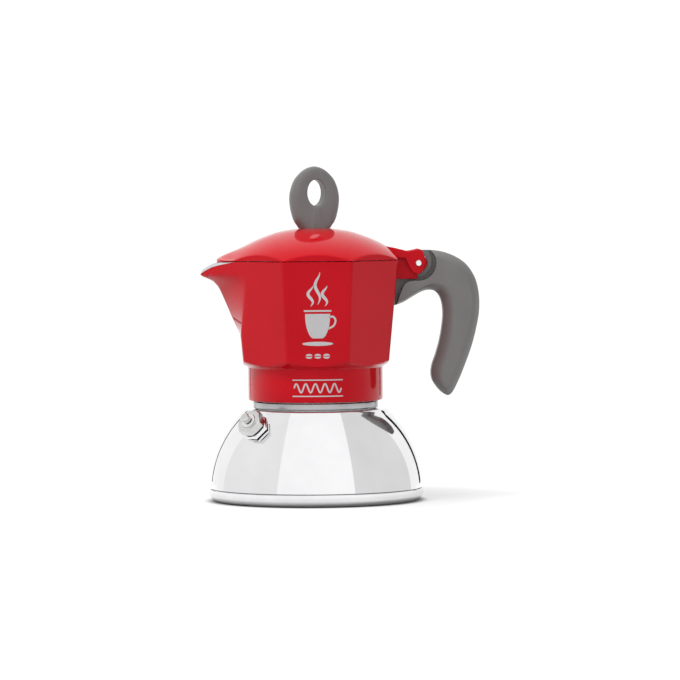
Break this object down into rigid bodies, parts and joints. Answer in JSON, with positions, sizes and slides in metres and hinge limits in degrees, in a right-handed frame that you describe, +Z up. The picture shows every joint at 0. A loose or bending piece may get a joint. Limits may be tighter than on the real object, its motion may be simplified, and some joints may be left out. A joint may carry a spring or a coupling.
{
  "type": "moka pot",
  "caption": "Stove-top moka pot with a domed steel boiler, octagonal red collector with V spout, hinged lid with ring knob and curved side handle.",
  "frame": {"origin": "on the pot's axis, at the flat face under the base that rests on the hob", "axes": "+Z up along the pot's axis; -X towards the spout, +X towards the handle; the lid's hinge pin lies along Y"},
  "size_m": [0.1364, 0.1048, 0.1635],
  "materials": {
    "red_lacquer": "glossy",
    "polished_steel": "mirror polished",
    "satin_steel": "satin",
    "bare_aluminium": "satin",
    "plated_brass": "nickel plated",
    "grey_nylon": "satin",
    "black_rubber": "matte",
    "white_silicone": "matte",
    "spring_steel": "drawn wire"
  },
  "bodies": {
    "boiler": {"boiler_base_pan": "satin_steel", "heat_spreader_disc": "bare_aluminium", "boiler_dome_shell": "polished_steel", "boiler_inner_cup": "bare_aluminium", "boiler_neck": "bare_aluminium", "valve_boss": "polished_steel", "valve_gasket": "black_rubber", "valve_body": "plated_brass", "valve_bush": "satin_steel", "valve_spring": "spring_steel", "funnel_cup": "bare_aluminium", "funnel_stem": "bare_aluminium", "funnel_strainer": "bare_aluminium"},
    "valve_stem": {"valve_piston": "plated_brass", "valve_seal": "black_rubber"},
    "seals": {"gasket_ring": "white_silicone", "filter_plate": "bare_aluminium"},
    "collector": {"collector_body": "red_lacquer", "riser_column": "bare_aluminium", "handle_grip": "grey_nylon", "handle_screw": "satin_steel", "hinge_pin": "satin_steel"},
    "lid": {"lid_shell": "red_lacquer", "lid_knob": "grey_nylon", "knob_screw": "satin_steel", "knob_washer": "satin_steel"}
  },
  "joints": [
    {"name": "collector_rise", "type": "slide", "parent": "boiler", "child": "seals", "axis": [0, 0, 1], "range_m": [0, 0.0072]},
    {"name": "collector_unscrew", "type": "hinge", "parent": "seals", "child": "collector", "pos_m": [0, 0, 0.0489], "axis": [0, 0, 1], "range_deg": [0, 720]},
    {"name": "lid_hinge", "type": "hinge", "parent": "collector", "child": "lid", "pos_m": [0.0504, 0, 0.1153], "axis": [0, 1, 0], "range_deg": [0, 84]},
    {"name": "valve_slide", "type": "slide", "parent": "boiler", "child": "valve_stem", "axis": [-0.5735, -0.5735, 0.5849], "range_m": [0, 0.0015], "stiffness_N_per_m": 2000, "springref_m": -0.001, "deforming": ["valve_spring"]}
  ],
  "couplings": [
    {"joint": "collector_rise", "follows": "collector_unscrew", "m_per_rad": 0.00057296}
  ]
}
